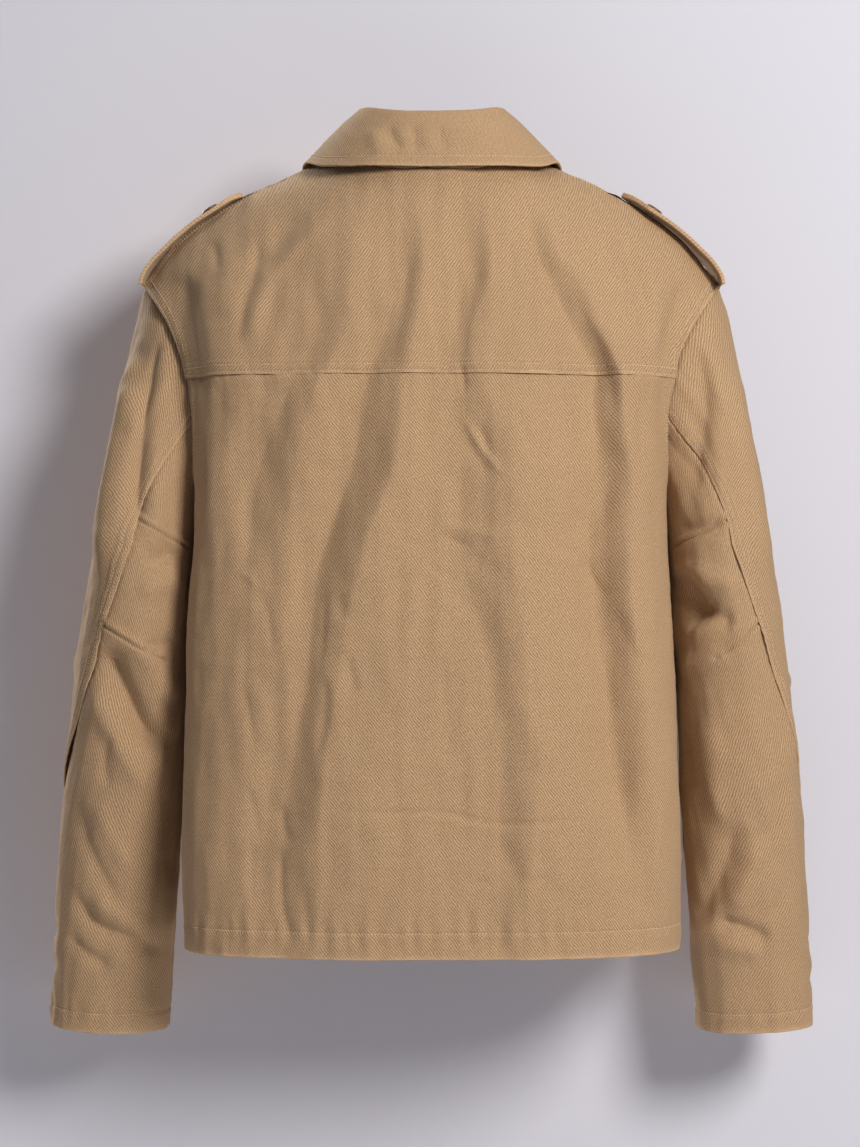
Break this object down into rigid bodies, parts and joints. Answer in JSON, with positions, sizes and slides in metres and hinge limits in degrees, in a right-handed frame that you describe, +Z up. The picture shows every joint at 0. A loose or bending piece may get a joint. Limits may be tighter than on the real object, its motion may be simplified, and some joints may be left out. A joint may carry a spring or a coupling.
{
  "type": "harrington jacket",
  "caption": "Short tan cotton twill jacket with a shirt collar, back yoke, epaulettes, shaped sleeves and a zip front, filled out as worn.",
  "frame": {"origin": "middle of the neck opening, at the height of the back neck seam", "axes": "+Z up, -Y the front, +X the wearer's left"},
  "size_m": [0.6432, 0.2533, 0.7657],
  "materials": {
    "cotton_twill": "matt twill weave",
    "zip_tape": "matt woven tape",
    "button_horn": "satin horn effect",
    "zip_metal": "aged brass"
  },
  "bodies": {
    "jacket": {"back_yoke": "cotton_twill", "back_panel": "cotton_twill", "front_left": "cotton_twill", "front_right": "cotton_twill", "sleeve_upper_left": "cotton_twill", "sleeve_under_left": "cotton_twill", "sleeve_upper_right": "cotton_twill", "sleeve_under_right": "cotton_twill", "collar_stand": "cotton_twill", "collar_fall": "cotton_twill", "epaulette_left": "cotton_twill", "epaulette_right": "cotton_twill", "epaulette_button_left": "button_horn", "epaulette_button_right": "button_horn", "zip_tape_left": "zip_tape", "zip_tape_right": "zip_tape", "zip_chain": "zip_metal", "zip_box": "zip_metal", "zip_slider": "zip_metal"},
    "pull": {"zip_pull": "zip_metal"}
  },
  "joints": [
    {"name": "pull_swing", "type": "hinge", "parent": "jacket", "child": "pull", "pos_m": [0, -0.11187, -0.09151], "axis": [-1, 0, 0], "range_deg": [0, 165]}
  ]
}
